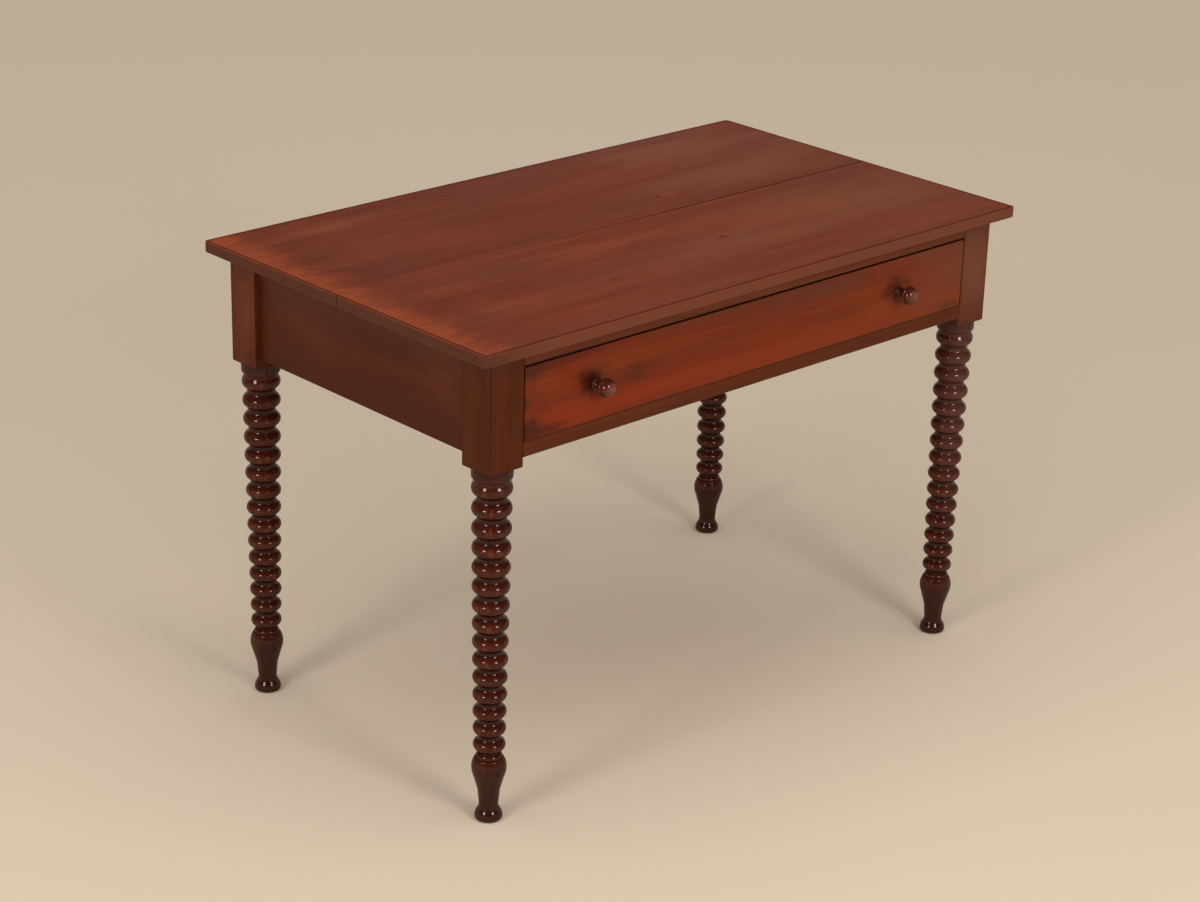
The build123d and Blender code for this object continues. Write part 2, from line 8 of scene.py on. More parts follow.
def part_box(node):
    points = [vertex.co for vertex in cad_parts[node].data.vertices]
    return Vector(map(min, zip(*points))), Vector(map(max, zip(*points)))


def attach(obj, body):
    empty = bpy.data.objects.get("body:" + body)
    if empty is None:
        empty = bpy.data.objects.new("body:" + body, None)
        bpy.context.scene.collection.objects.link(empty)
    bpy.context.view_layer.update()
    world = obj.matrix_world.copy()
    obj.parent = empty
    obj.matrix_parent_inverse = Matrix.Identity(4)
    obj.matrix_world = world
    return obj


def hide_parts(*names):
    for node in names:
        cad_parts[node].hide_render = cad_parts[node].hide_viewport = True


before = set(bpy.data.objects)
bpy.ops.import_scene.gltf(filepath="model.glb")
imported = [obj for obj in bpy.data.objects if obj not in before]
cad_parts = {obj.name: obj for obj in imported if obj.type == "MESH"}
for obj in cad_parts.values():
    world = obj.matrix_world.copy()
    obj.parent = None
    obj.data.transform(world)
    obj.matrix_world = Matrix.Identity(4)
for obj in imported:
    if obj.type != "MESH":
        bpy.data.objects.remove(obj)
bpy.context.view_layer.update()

# ---- Camera, floor and lamps ----
# The table stands on a pale seamless floor. The camera is a little above an adult's eye height, off the
# table's front left corner. Two soft lamps stand left and right of it, and skylight falls from above.

bpy.ops.object.select_all(action="DESELECT")
bpy.context.scene.view_settings.view_transform = "Standard"

camera_place = Vector((-2.795, -2.928, 2.012))
camera_aim = Vector((0.017, 0.059, 0.341))
camera_roll = radians(1.55)
sight = (camera_aim - camera_place).to_track_quat("-Z", "Y").to_matrix()
sight = sight @ Matrix.Rotation(camera_roll, 3, "Z")
bpy.ops.object.camera_add(location=camera_place, rotation=sight.to_euler())
camera = bpy.context.object
camera.data.sensor_width = 36
camera.data.lens = 83.5
bpy.context.scene.camera = camera


def colour(code):
    """A colour given as sRGB hex, in the linear values that shaders and lamps take."""
    parts = [int(code[i:i + 2], 16) / 255 for i in (1, 3, 5)]
    return tuple(c / 12.92 if c <= 0.04045 else ((c + 0.055) / 1.055) ** 2.4 for c in parts) + (1,)


def node(tree, kind, settings, inputs):
    """Adds a shader node, with its settings, and a value or a link for each input named or numbered."""
    made = tree.nodes.new(kind)
    for name, value in settings.items():
        setattr(made, name, value)
    for name, value in inputs.items():
        if isinstance(value, bpy.types.NodeSocket):
            tree.links.new(value, made.inputs[name])
        else:
            made.inputs[name].default_value = value
    return made


def between(value, start, end, at_start, at_end):
    """The inputs of a map range node that goes from one strength to another between two places."""
    return {"Value": value, "From Min": start, "From Max": end, "To Min": at_start, "To Max": at_end}


table_middle = Vector((0, 0, 0.45))
soft_box_size = 0.9
for name, place, watts in (("lamp_front", (-0.37, -3.5, 1.95), 50), ("lamp_left", (-3.75, -0.62, 1.95), 46)):
    turn = (table_middle - Vector(place)).to_track_quat("-Z", "Y").to_euler()
    bpy.ops.object.light_add(type="AREA", location=place, rotation=turn)
    lamp = bpy.context.object
    lamp.name = name
    lamp.data.shape = "SQUARE"
    lamp.data.size = soft_box_size
    lamp.data.energy = watts
bpy.ops.object.light_add(type="SUN", location=(-0.5, -1, 4), rotation=(radians(18), radians(-10), 0))
skylight = bpy.context.object
skylight.name = "skylight"
skylight.data.energy = 2.2
skylight.data.angle = radians(100)
# The skylight is too broad to mirror: as a reflection it would lay one grey sheen over the whole top.
skylight.visible_glossy = False

world = bpy.data.worlds.new("studio_air")
bpy.context.scene.world = world
world.use_nodes = True
sky = world.node_tree.nodes["Background"]
sky.inputs["Color"].default_value = colour("#F4EBDF")
# The studio's walls are pale up to head height and darker towards the ceiling.
smooth = {"interpolation_type": "SMOOTHSTEP"}
wall_light, ceiling_light = 0.7, 0.12
toward = node(world.node_tree, "ShaderNodeTexCoord", {}, {}).outputs["Generated"]
rise = node(world.node_tree, "ShaderNodeSeparateXYZ", {}, {0: toward}).outputs[2]
upward = between(rise, 0.05, 0.35, wall_light, ceiling_light)
upward = node(world.node_tree, "ShaderNodeMapRange", smooth, upward).outputs[0]
world.node_tree.links.new(upward, sky.inputs["Strength"])

floor_size = 60
bpy.ops.mesh.primitive_plane_add(size=floor_size, location=(0, 0, 0))
floor = bpy.context.object
floor.name = "floor"
# Matt painted concrete: even and pale, with no gloss of its own.
floor_paint = bpy.data.materials.new("matt_floor_paint")
floor_paint.use_nodes = True
floor_shader = floor_paint.node_tree.nodes["Principled BSDF"]
floor_shader.inputs["Base Color"].default_value = colour("#D0BFA8")
floor_shader.inputs["Roughness"].default_value = 0.9
floor_shader.inputs["Specular IOR Level"].default_value = 0.1
floor.data.materials.append(floor_paint)


# ---- Top ----
# Two cherry boards, planed by hand, glued edge to edge and screwed on from below. The shellac is red-brown
# and satin, smoky where hands and lamps have been, and worn through to orange wood along the left end.

def pick(piece, kind, test):
    """In edit mode, selects the verts, edges or faces of a piece that pass a test, and nothing else."""
    bpy.ops.mesh.select_all(action="DESELECT")
    bpy.ops.mesh.select_mode(type={"verts": "VERT", "edges": "EDGE", "faces": "FACE"}[kind])
    shape = bmesh.from_edit_mesh(piece.data)
    for element in getattr(shape, kind):
        if test(element):
            element.select_set(True)
    bmesh.update_edit_mesh(piece.data)


def block(name, low, high):
    """A box between two corners, left in edit mode."""
    bpy.ops.object.select_all(action="DESELECT")
    bpy.ops.mesh.primitive_cube_add(size=1, location=(low + high) / 2, scale=high - low)
    piece = bpy.context.object
    piece.name = name
    bpy.ops.object.transform_apply(location=True, rotation=True, scale=True)
    bpy.ops.object.mode_set(mode="EDIT")
    return piece


# Places that are nearer together than this count as one.
touching = 0.0001


def along(edge, axis):
    """Whether an edge runs along one axis, 0 to 2."""
    step = edge.verts[1].co - edge.verts[0].co
    return all(abs(step[i]) < touching for i in range(3) if i != axis)


def hold_flat(piece):
    """Insets each broad face by a hair, so that the smooth shading of the rounded arrises ends there."""
    broad_area = 0.0001
    pick(piece, "faces", lambda face: face.calc_area() > broad_area)
    bpy.ops.mesh.inset(thickness=0.0002, use_individual=True)


def settle(piece, node_names, body, finishes):
    """Ends the work on a piece that stands for CAD nodes: smooth shading, its finishes and its body."""
    bpy.ops.object.mode_set(mode="OBJECT")
    bpy.ops.object.select_all(action="DESELECT")
    piece.select_set(True)
    bpy.context.view_layer.objects.active = piece
    bpy.ops.object.shade_smooth_by_angle(angle=radians(35))
    for finish in finishes:
        piece.data.materials.append(finish)
    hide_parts(*node_names)
    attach(piece, body)


def wood(name, grain, heart, tones, gloss):
    """Planed wood under shellac or wax. The rings circle the tree's heart, which runs along the grain axis,
    and the fibres and the streaks of the colour are drawn out along it. The tones go from dark to light,
    the gloss is the lowest and highest roughness, and the colour stays open for stains and wear."""
    made = bpy.data.materials.new(name)
    made.use_nodes = True
    tree = made.node_tree
    shader = tree.nodes["Principled BSDF"]
    turns = {"x": (0, 0, 0), "y": (0, 0, -pi / 2), "z": (0, pi / 2, 0)}
    place = node(tree, "ShaderNodeTexCoord", {}, {}).outputs["Object"]
    centred = node(tree, "ShaderNodeVectorMath", {"operation": "SUBTRACT"}, {0: place, 1: heart}).outputs[0]
    lengthwise = node(tree, "ShaderNodeMapping", {}, {"Vector": centred, "Rotation": turns[grain]}).outputs[0]
    # The trunk was never quite straight or round: its grain wanders by a centimetre or two.
    slow = node(tree, "ShaderNodeMapping", {}, {"Vector": lengthwise, "Scale": (1.3, 6, 6)}).outputs[0]
    wander = node(tree, "ShaderNodeTexNoise", {}, {"Vector": slow, "Scale": 1, "Detail": 2}).outputs["Color"]
    sway = {0: wander, 1: (0.05, 0.05, 0.05), 2: lengthwise}
    bent = node(tree, "ShaderNodeVectorMath", {"operation": "MULTIPLY_ADD"}, sway).outputs[0]
    across = node(tree, "ShaderNodeVectorMath", {"operation": "MULTIPLY"}, {0: bent, 1: (0, 1, 1)}).outputs[0]
    radius = node(tree, "ShaderNodeVectorMath", {"operation": "LENGTH"}, {0: across}).outputs["Value"]
    # Growth rings are 3 to 8 mm apart. Fibre bundles are drawn 2 to 3 mm wide, coarser than real ones.
    one_way = {"noise_dimensions": "1D"}
    rings = node(tree, "ShaderNodeTexNoise", one_way, {"W": radius, "Scale": 160, "Detail": 3}).outputs["Fac"]
    layers = [(rings, 0.10)]
    for scale, detail, weight in (((12, 420, 420), 3, 0.26), ((1.7, 26, 26), 4, 0.36), ((3, 9, 9), 3, 0.28)):
        drawn = node(tree, "ShaderNodeMapping", {}, {"Vector": bent, "Scale": scale}).outputs[0]
        grainy = {"Vector": drawn, "Scale": 1, "Detail": detail}
        layers.append((node(tree, "ShaderNodeTexNoise", {}, grainy).outputs["Fac"], weight))
    total = 0
    for layer, weight in layers:
        total = node(tree, "ShaderNodeMath", {"operation": "MULTIPLY_ADD"}, {0: layer, 1: weight, 2: total})
        total = total.outputs[0]
    ramp = node(tree, "ShaderNodeValToRGB", {}, {"Fac": total})
    stops = ramp.color_ramp.elements
    stops[0].position, stops[0].color = 0.4, colour(tones[0])
    stops[1].position, stops[1].color = 0.62, colour(tones[2])
    stops.new(0.5).color = colour(tones[1])
    tree.links.new(ramp.outputs["Color"], shader.inputs["Base Color"])
    spread = between(layers[3][0], 0.35, 0.65, gloss[0], gloss[1])
    tree.links.new(node(tree, "ShaderNodeMapRange", {}, spread).outputs[0], shader.inputs["Roughness"])
    raised = {"Height": layers[1][0], "Strength": 0.3, "Distance": 0.00006}
    tree.links.new(node(tree, "ShaderNodeBump", {}, raised).outputs[0], shader.inputs["Normal"])
    shader.inputs["IOR"].default_value = 1.52
    shader.inputs["Specular IOR Level"].default_value = 0.1
    return made


def lay_colour(material, mask, code):
    """Lays a colour over the finish as far as a mask says."""
    tree = material.node_tree
    base = tree.nodes["Principled BSDF"].inputs["Base Color"]
    below = base.links[0].from_socket
    mixed = node(tree, "ShaderNodeMix", {"data_type": "RGBA"}, {0: mask, 6: below, 7: colour(code)})
    tree.links.new(mixed.outputs[2], base)


def patch(material, centre, reach, code, strength):
    """Lays a soft and ragged patch of a colour over the finish. It has its full strength at the centre and
    is gone at its reach along each axis."""
    tree = material.node_tree
    place = node(tree, "ShaderNodeTexCoord", {}, {}).outputs["Object"]
    fit = {"Scale": [1 / r for r in reach], "Location": [-c / r for c, r in zip(centre, reach)]}
    near = node(tree, "ShaderNodeMapping", {}, {"Vector": place, **fit}).outputs[0]
    distance = node(tree, "ShaderNodeVectorMath", {"operation": "LENGTH"}, {0: near}).outputs["Value"]
    own = {"Vector": near, "W": 40 * sum(centre), "Scale": 1.7, "Detail": 4}
    broken = node(tree, "ShaderNodeTexNoise", {"noise_dimensions": "4D"}, own).outputs["Fac"]
    # The noise averages a half, so the sum goes from about 0.8 at the centre to 1.8 at the reach.
    raggedness = 1.6
    ragged = {0: broken, 1: raggedness, 2: distance}
    ragged = node(tree, "ShaderNodeMath", {"operation": "MULTIPLY_ADD"}, ragged).outputs[0]
    mask = node(tree, "ShaderNodeMapRange", smooth, between(ragged, 0.75, 1.65, strength, 0)).outputs[0]
    lay_colour(material, mask, code)


def flecks(material, spacing, code):
    """Scatters small dark dents and specks, each one or two millimetres across and a little long in the
    grain, over a net of places at a mean spacing. Less than half of the places have one."""
    tree = material.node_tree
    place = node(tree, "ShaderNodeTexCoord", {}, {}).outputs["Object"]
    drawn = node(tree, "ShaderNodeMapping", {}, {"Vector": place, "Scale": (0.6, 1, 1)}).outputs[0]
    cells = node(tree, "ShaderNodeTexVoronoi", {}, {"Vector": drawn, "Scale": 1 / spacing})
    near = between(cells.outputs["Distance"], 0.0005 / spacing, 0.0011 / spacing, 1, 0)
    near = node(tree, "ShaderNodeMapRange", smooth, near).outputs[0]
    chosen = node(tree, "ShaderNodeSeparateColor", {}, {0: cells.outputs["Color"]}).outputs[0]
    chosen = node(tree, "ShaderNodeMapRange", smooth, between(chosen, 0.55, 1, 0, 0.8)).outputs[0]
    mask = node(tree, "ShaderNodeMath", {"operation": "MULTIPLY"}, {0: near, 1: chosen}).outputs[0]
    lay_colour(material, mask, code)


def band(tree, value, start, full, fall, end, strength):
    """A mask that rises to its strength between two places and falls to nothing between two further ones."""
    begun = node(tree, "ShaderNodeMapRange", smooth, between(value, start, full, 0, strength)).outputs[0]
    ended = node(tree, "ShaderNodeMapRange", smooth, between(value, fall, end, 1, 0)).outputs[0]
    return node(tree, "ShaderNodeMath", {"operation": "MULTIPLY"}, {0: begun, 1: ended}).outputs[0]


def bare_side(material, axis, limit, lower, code):
    """Leaves the wood bare, brown and dry on one side of a piece, below or above a place on an axis."""
    tree = material.node_tree
    place = node(tree, "ShaderNodeTexCoord", {}, {}).outputs["Object"]
    parts = node(tree, "ShaderNodeSeparateXYZ", {}, {0: place}).outputs
    test = {"operation": "LESS_THAN" if lower else "GREATER_THAN"}
    mask = node(tree, "ShaderNodeMath", test, {0: parts[axis], 1: limit}).outputs[0]
    rough = tree.nodes["Principled BSDF"].inputs["Roughness"]
    dry_roughness = 0.8
    dry = {0: mask, 2: rough.links[0].from_socket, 3: dry_roughness}
    tree.links.new(node(tree, "ShaderNodeMix", {}, dry).outputs[0], rough)
    lay_colour(material, mask, code)


corner_radius = 0.007
top_arris = 0.0015
joint_arris = 0.0003
sharp_angle = radians(60)
joint_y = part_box("top_front_board")[1].y
top_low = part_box("top_front_board")[0]
top_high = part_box("top_rear_board")[1]
top_middle = (top_low + top_high) / 2
top_half = (top_high - top_low) / 2
top_gloss = (0.4, 0.55)
patch_depth = 0.1
band_wobble = 0.24
underside_skin = 0.0004
smoky = "#642F1F"
# Each board has its node, the place of the tree's heart, its tones and its patches, of stain and of painted
# sheen. A patch has its x and y, its reach along each, its colour and its strength.
for name, heart, top_tones, stains_and_sheen in (
    (
        "top_front_board",
        (0, -0.21, 0.60),
        ("#652918", "#72321D", "#7F3C24"),
        (
            (-0.05, -0.17, 0.40, 0.12, "#7A3A25", 0.5),
            (0.42, -0.25, 0.35, 0.07, "#7E3A26", 0.6),
            (-0.30, -0.29, 0.60, 0.05, "#743625", 0.6),
            # Painted sheen: a lighter, greyer brown towards the right end.
            (0.30, -0.12, 0.45, 0.16, "#7B442C", 0.7),
            (-0.052, -0.094, 0.10, 0.04, smoky, 0.6),
            (-0.30, -0.06, 0.22, 0.05, "#5F2C1E", 0.6),
            (0.074, -0.138, 0.02, 0.009, "#3C190F", 0.7),
            (-0.375, -0.142, 0.03, 0.008, "#43201A", 0.6),
            (-0.189, -0.183, 0.022, 0.009, "#43201A", 0.6),
        ),
    ),
    (
        "top_rear_board",
        (0, 0.12, 0.92),
        ("#612719", "#6E311E", "#7A3A26"),
        (
            # Painted sheen: a lighter, greyer brown towards the right end.
            (0.36, 0.26, 0.35, 0.10, "#7C4834", 0.8),
            (-0.10, 0.10, 0.40, 0.12, "#692E1C", 0.6),
            # Painted sheen: a lighter, greyer brown towards the right end.
            (0.36, 0.10, 0.40, 0.12, "#7B442C", 0.7),
            (-0.38, 0.26, 0.20, 0.03, "#80452B", 0.7),
            (-0.186, 0.173, 0.16, 0.05, smoky, 0.6),
            (0.066, 0.250, 0.14, 0.04, smoky, 0.5),
            (0.207, 0.240, 0.10, 0.03, smoky, 0.5),
            (-0.482, 0.154, 0.06, 0.018, "#45200F", 0.5),
            (-0.475, 0.095, 0.05, 0.012, "#45200F", 0.4),
            (0.159, 0.069, 0.034, 0.012, "#8A4229", 0.9),
            (0.136, 0.069, 0.012, 0.007, "#30100A", 1),
            (0.270, 0.167, 0.02, 0.008, "#431D15", 0.6),
        ),
    ),
):
    low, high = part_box(name)
    board = block(name + "_finished", low, high)
    pick(board, "edges", lambda edge: along(edge, 2) and abs(edge.verts[0].co.y - joint_y) > touching)
    bpy.ops.mesh.bevel(offset=corner_radius, segments=5, affect="EDGES")
    pick(
        board,
        "edges",
        lambda edge: abs(edge.verts[0].co.z - edge.verts[1].co.z) < touching
        and edge.calc_face_angle() > sharp_angle
        and max(abs(v.co.y - joint_y) for v in edge.verts) > touching,
    )
    bpy.ops.mesh.bevel(offset=top_arris, segments=3, affect="EDGES")
    pick(
        board,
        "edges",
        lambda edge: along(edge, 0)
        and edge.calc_face_angle() > sharp_angle
        and abs(edge.verts[0].co.y - joint_y) < touching
        and edge.verts[0].co.z > high.z - touching,
    )
    bpy.ops.mesh.bevel(offset=joint_arris, segments=1, affect="EDGES")
    hold_flat(board)
    # Satin shellac over planed cherry: a warm red-brown with soft streaks along the grain.
    finish = wood(name + "_shellacked_cherry", "x", heart, top_tones, top_gloss)
    tree = finish.node_tree
    place = node(tree, "ShaderNodeTexCoord", {}, {}).outputs["Object"]
    x, y = node(tree, "ShaderNodeSeparateXYZ", {}, {0: place}).outputs[:2]
    # Sleeves have rubbed a ragged band along the left end down to orange wood, with a dark fringe inside it.
    # A layer begins between its first two distances from the end and fades between its last two. The first
    # and the last layer have already begun where the board ends.
    inward = node(tree, "ShaderNodeMath", {"operation": "SUBTRACT"}, {0: x, 1: top_low.x}).outputs[0]
    for scale, start, full, fall, end, code, strength in (
        ((8, 18, 18), -1, -0.5, 0.020, 0.120, "#7A3620", 0.75),
        ((9, 24, 24), 0.020, 0.070, 0.080, 0.150, "#561F12", 0.35),
        ((14, 40, 40), -1, -0.5, -0.005, 0.060, "#914120", 0.9),
    ):
        drawn = node(tree, "ShaderNodeMapping", {}, {"Vector": place, "Scale": scale}).outputs[0]
        own = {"Vector": drawn, "W": end * 90, "Scale": 1, "Detail": 6, "Roughness": 0.66}
        ragged = node(tree, "ShaderNodeTexNoise", {"noise_dimensions": "4D"}, own).outputs["Fac"]
        shifted = {0: ragged, 1: band_wobble, 2: inward}
        shifted = node(tree, "ShaderNodeMath", {"operation": "MULTIPLY_ADD"}, shifted).outputs[0]
        start, full, fall, end = [band_wobble / 2 + distance for distance in (start, full, fall, end)]
        lay_colour(finish, band(tree, shifted, start, full, fall, end, strength), code)
    for at_x, at_y, reach_x, reach_y, code, strength in stains_and_sheen:
        patch(finish, (at_x, at_y, top_high.z), (reach_x, reach_y, patch_depth), code, strength)
    flecks(finish, 0.022, "#35120A")
    # Painted shade: a dark line just inside the rounded arris, all round the top, where the face turns down.
    off = node(tree, "ShaderNodeVectorMath", {"operation": "SUBTRACT"}, {0: place, 1: top_middle}).outputs[0]
    out = node(tree, "ShaderNodeVectorMath", {"operation": "ABSOLUTE"}, {0: off}).outputs[0]
    inside = node(tree, "ShaderNodeVectorMath", {"operation": "SUBTRACT"}, {0: top_half, 1: out}).outputs[0]
    inside = node(tree, "ShaderNodeSeparateXYZ", {}, {0: inside}).outputs
    inside = node(tree, "ShaderNodeMath", {"operation": "MINIMUM"}, {0: inside[0], 1: inside[1]}).outputs[0]
    lay_colour(finish, band(tree, inside, 0.0010, 0.0016, 0.0036, 0.0060, 0.95), "#2C0D07")
    # The upright edge faces are browner than the face, and darker towards the left end.
    facing = node(tree, "ShaderNodeTexCoord", {}, {}).outputs["Normal"]
    facing = node(tree, "ShaderNodeSeparateXYZ", {}, {0: facing}).outputs[2]
    facing = node(tree, "ShaderNodeMath", {"operation": "ABSOLUTE"}, {0: facing}).outputs[0]
    edge = node(tree, "ShaderNodeMapRange", smooth, between(facing, 0.3, 0.7, 1, 0)).outputs[0]
    lay_colour(finish, edge, "#723C29")
    darker_left_end = node(tree, "ShaderNodeMapRange", smooth, between(x, -0.545, -0.42, 0.95, 0.3)).outputs[0]
    darker_left_end = node(tree, "ShaderNodeMath", {"operation": "MULTIPLY"}, {0: edge, 1: darker_left_end}).outputs[0]
    lay_colour(finish, darker_left_end, "#502B1D")
    # The glue line has opened towards the right end and on the left end face, and dark wax has filled it.
    off = node(tree, "ShaderNodeMath", {"operation": "SUBTRACT"}, {0: y, 1: joint_y}).outputs[0]
    off = node(tree, "ShaderNodeMath", {"operation": "ABSOLUTE"}, {0: off}).outputs[0]
    line = node(tree, "ShaderNodeMapRange", smooth, between(off, 0.0013, 0.0022, 1, 0)).outputs[0]
    opened = node(tree, "ShaderNodeMapRange", smooth, between(x, -0.35, 0.25, 0.15, 0.95)).outputs[0]
    at_end = between(x, top_low.x + 0.001, top_low.x + 0.003, 0.6, 0)
    at_end = node(tree, "ShaderNodeMapRange", smooth, at_end).outputs[0]
    opened = node(tree, "ShaderNodeMath", {"operation": "MAXIMUM"}, {0: opened, 1: at_end}).outputs[0]
    line = node(tree, "ShaderNodeMath", {"operation": "MULTIPLY"}, {0: line, 1: opened}).outputs[0]
    lay_colour(finish, line, "#1E0804")
    bare_side(finish, 2, top_low.z + underside_skin, True, "#6B4A33")
    settle(board, [name], "table_frame", [finish])


# ---- Legs ----
# Each leg is one piece of cherry, square above and turned below into fifteen beads that shrink downwards, a
# vase and a ring foot. The shellac is satin on the post and thick and glossy on the turning.

post_arris = 0.0015
post_end_arris = 0.0014
collar_length = 0.012
collar_round_height = 0.0075
collar_inset = 0.0003
collar_neck_radius = 0.0263
bead_count = 15
top_bead_radius = 0.0294
bottom_bead_radius = 0.0236
bead_pitch_ratio = 0.85
bead_depth = 0.0076
bead_cove_share = 0.42
first_bead_cut = 0.004
vase_neck_height = 0.108
vase_belly_height = 0.085
vase_belly_radius = 0.0257
vase_scores = ((0.0066, 0.011), (0.0037, 0.0065))
vase_score_depth = 0.0008
vase_score_width = 0.0016
vase_cove_share = 0.78
ankle_height = 0.025
ankle_radius = 0.0142
ankle_cove_share = 0.5
foot_ring_height = 0.0055
foot_ring_radius = 0.0205
post_bottom = 0.5495
arc_step = radians(11)
straight = 1e-9
leg_heart = Vector((0.045, 0.03, 0))
satin_gloss = (0.42, 0.55)
turning_gloss = (0.3, 0.42)


def arc(start, end, direction):
    """Points after the start of the arc that leaves it in a direction and ends at the end."""
    start, end, direction = Vector(start), Vector(end), Vector(direction).normalized()
    chord = end - start
    side = Vector((-direction.y, direction.x))
    if abs(chord.dot(side)) < straight:
        return [end]
    turn = 2 * atan2(chord.dot(side), chord.dot(direction))
    radius = chord.length / (2 * sin(turn / 2))
    steps = max(2, ceil(abs(turn) / arc_step))
    points = []
    for i in range(1, steps + 1):
        part = turn * i / steps
        points.append(start + radius * (sin(part) * direction + (1 - cos(part)) * side))
    return points


def half_bead(low, high, cove_share, round_below):
    """Points from a low to a high place of a round and a hollow that meet smoothly. The round is the low
    one of the two or the high one."""
    crest, neck = (low, high) if round_below else (high, low)
    height = high[1] - low[1]
    turn = 2 * atan((crest[0] - neck[0]) / height)
    round_height = (1 - cove_share) * height
    round_radius = round_height / sin(turn)
    away = 1 if round_below else -1
    meet = (crest[0] - round_radius * (1 - cos(turn)), crest[1] + away * round_height)
    if round_below:
        slope = Vector((-sin(turn), cos(turn)))
    else:
        slope = Vector((sin(turn), cos(turn)))
    return arc(low, meet, (0, 1)) + arc(meet, high, slope)


def leg_outline():
    """Outline of the turning from the floor up to the shoulder under the post, as radius and height."""
    bead_top = post_bottom - collar_length - collar_round_height + first_bead_cut
    top_pitch = 2 * (bead_top - vase_neck_height) / (bead_count * (1 + bead_pitch_ratio))
    shares = [i / (bead_count - 1) for i in range(bead_count)]
    pitches = [top_pitch * (1 - (1 - bead_pitch_ratio) * share) for share in shares]
    radii = [top_bead_radius + (bottom_bead_radius - top_bead_radius) * share for share in shares]
    ring = (foot_ring_radius, foot_ring_height)
    ankle = (ankle_radius, ankle_height)
    below = (vase_belly_radius, vase_belly_height)
    neck = (radii[-1] - bead_depth, vase_neck_height)
    points = [Vector((0, 0)), Vector((foot_ring_radius - foot_ring_height, 0))]
    points += arc(points[-1], ring, (1, 0))
    points += half_bead(ring, ankle, ankle_cove_share, True)
    points += half_bead(ankle, below, vase_cove_share, False)
    for out, down in vase_scores:
        lean = vase_score_width / 2 * out / down
        score_low = (neck[0] + out + lean, neck[1] - down - vase_score_width / 2)
        score_deep = (neck[0] + out - vase_score_depth, neck[1] - down)
        score_high = (neck[0] + out - lean, neck[1] - down + vase_score_width / 2)
        points += arc(below, score_low, (0, 1)) + [Vector(score_deep), Vector(score_high)]
        below = score_high
    points += arc(below, neck, (0, 1))
    for i in reversed(range(bead_count)):
        crest = (radii[i], neck[1] + pitches[i] / 2)
        points += half_bead(neck, crest, bead_cove_share, False)
        if i > 0:
            neck = ((radii[i] + radii[i - 1]) / 2 - bead_depth, neck[1] + pitches[i])
        else:
            neck = (collar_neck_radius, neck[1] + pitches[i] - first_bead_cut)
        points += half_bead(crest, neck, bead_cove_share, True)
    collar = post_size / 2 - collar_inset
    points += half_bead(neck, (collar, neck[1] + collar_round_height), bead_cove_share, False)
    points += [Vector((collar, post_bottom)), Vector((collar, post_bottom + collar_inset))]
    points.append(Vector((0, post_bottom + collar_inset)))
    return points


def turned(name, outline, centre, axis, outward, steps):
    """A piece turned about an axis through a centre, left in edit mode. The outline's points are radius and
    distance along the axis, and the radius starts out in the outward direction."""
    bpy.ops.object.select_all(action="DESELECT")
    at = [centre + p[0] * outward + p[1] * axis for p in outline]
    bpy.ops.mesh.primitive_plane_add(size=0.001, location=at[0])
    piece = bpy.context.object
    piece.name = name
    bpy.ops.object.transform_apply(location=True, rotation=True, scale=True)
    bpy.ops.object.mode_set(mode="EDIT")
    bpy.ops.mesh.select_mode(type="VERT")
    bpy.ops.mesh.select_all(action="SELECT")
    bpy.ops.mesh.merge(type="CENTER")
    for start, end in zip(at, at[1:]):
        bpy.ops.mesh.extrude_region_move(TRANSFORM_OT_translate={"value": end - start})
    bpy.ops.mesh.select_all(action="SELECT")
    bpy.ops.mesh.spin(steps=steps, angle=2 * pi, center=centre, axis=axis)
    bpy.ops.mesh.select_all(action="SELECT")
    bpy.ops.mesh.remove_doubles(threshold=1e-6)
    bpy.ops.mesh.normals_make_consistent(inside=False)
    return piece


def copy_to(piece, name, shift):
    """A copy with a mesh of its own, moved as a mesh."""
    made = piece.copy()
    made.data = piece.data.copy()
    made.name = name
    made.data.transform(Matrix.Translation(shift))
    bpy.context.scene.collection.objects.link(made)
    return made


def arris_grime(material, centre, half, width, code, strength):
    """Dark wax along the arrises of a box: where two of the distances to its sides are both small."""
    tree = material.node_tree
    place = node(tree, "ShaderNodeTexCoord", {}, {}).outputs["Object"]
    off = node(tree, "ShaderNodeVectorMath", {"operation": "SUBTRACT"}, {0: place, 1: centre}).outputs[0]
    out = node(tree, "ShaderNodeVectorMath", {"operation": "ABSOLUTE"}, {0: off}).outputs[0]
    depth = node(tree, "ShaderNodeVectorMath", {"operation": "SUBTRACT"}, {0: half, 1: out}).outputs[0]
    deep = node(tree, "ShaderNodeSeparateXYZ", {}, {0: depth}).outputs
    pairs = [
        node(tree, "ShaderNodeMath", {"operation": "MAXIMUM"}, {0: deep[a], 1: deep[b]}).outputs[0]
        for a, b in ((0, 1), (1, 2), (0, 2))
    ]
    nearest = node(tree, "ShaderNodeMath", {"operation": "MINIMUM"}, {0: pairs[0], 1: pairs[1]}).outputs[0]
    nearest = node(tree, "ShaderNodeMath", {"operation": "MINIMUM"}, {0: nearest, 1: pairs[2]}).outputs[0]
    grimy = node(tree, "ShaderNodeMapRange", smooth, between(nearest, width / 2, width, strength, 0))
    lay_colour(material, grimy.outputs[0], code)


def colour_by_height(material, start, end, at_start, at_end, code):
    """Lays a colour over the finish, from one strength to another between two heights."""
    tree = material.node_tree
    place = node(tree, "ShaderNodeTexCoord", {}, {}).outputs["Object"]
    height = node(tree, "ShaderNodeSeparateXYZ", {}, {0: place}).outputs[2]
    mask = node(tree, "ShaderNodeMapRange", smooth, between(height, start, end, at_start, at_end))
    lay_colour(material, mask.outputs[0], code)


